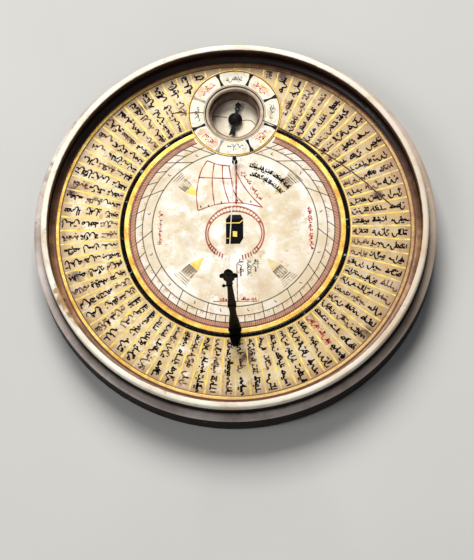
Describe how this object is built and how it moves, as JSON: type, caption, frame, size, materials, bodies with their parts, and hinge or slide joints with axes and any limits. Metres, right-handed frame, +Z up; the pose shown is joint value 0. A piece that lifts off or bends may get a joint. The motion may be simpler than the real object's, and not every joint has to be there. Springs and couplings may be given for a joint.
{
  "type": "qibla indicator",
  "caption": "Round painted tray instrument with a place-list dial, an inset compass, a sundial fan and a folding post that tightens a thread gnomon.",
  "frame": {"origin": "centre of the foot ring's underside, on the table", "axes": "+Z up, +Y from the folding post towards the compass"},
  "size_m": [0.313, 0.313, 0.1635],
  "materials": {
    "dark_wood": "oiled",
    "brown_hoop": "worn varnish",
    "cream_paint": "aged gesso and paint",
    "red_brown_lining": "dull",
    "tan_moulding": "varnished",
    "buff_paper": "varnished paper on board",
    "gilt": "gilded",
    "black_lacquer": "gloss lacquer",
    "ivory_paper": "varnished paper on board",
    "plate_paper": "varnished paper on board",
    "clear_glass": "clear",
    "bowl_brown": "matt",
    "card_cream": "matt paper",
    "brass": "polished",
    "blued_steel": "blued",
    "blackened_metal": "blackened",
    "silk": "matt"
  },
  "bodies": {
    "tray": {"foot_ring": "dark_wood", "base_board": "dark_wood", "body_hoop": "brown_hoop", "lid_seat_ring": "cream_paint", "wall_hoop": "brown_hoop", "rim_cap": "cream_paint", "wall_lining": "red_brown_lining", "edge_moulding": "tan_moulding", "dial_bed": "dark_wood", "outer_dial_ring": "buff_paper", "outer_gilt_ring": "gilt", "black_ring": "black_lacquer", "inner_gilt_ring": "gilt", "inner_dial": "ivory_paper", "medallion_disc": "ivory_paper", "compass_plate": "plate_paper", "compass_gilt_ring": "gilt", "compass_bezel": "tan_moulding", "compass_glass": "clear_glass", "compass_bowl": "bowl_brown", "compass_card": "card_cream", "needle_pivot": "brass", "thread_peg": "blackened_metal", "thread_loop": "silk", "gnomon_thread": "silk", "post_bracket": "blackened_metal", "post_hinge_pin": "blackened_metal", "bracket_nails": "blackened_metal"},
    "compass_needle": {"needle": "blued_steel", "needle_cap": "blued_steel"},
    "gnomon": {"gnomon_post": "blackened_metal", "post_collar": "blackened_metal", "thread_cleat": "blackened_metal", "post_finial": "blackened_metal", "thread_knot": "silk"}
  },
  "joints": [
    {"name": "needle_spin", "type": "hinge", "parent": "tray", "child": "compass_needle", "pos_m": [0, 0.097, 0.0101], "axis": [0, 0, 1], "continuous": true},
    {"name": "post_fold", "type": "hinge", "parent": "tray", "child": "gnomon", "pos_m": [0, -0.085, 0.03], "axis": [-1, 0, 0], "range_deg": [0, 90], "deforming": ["gnomon_thread"]}
  ]
}
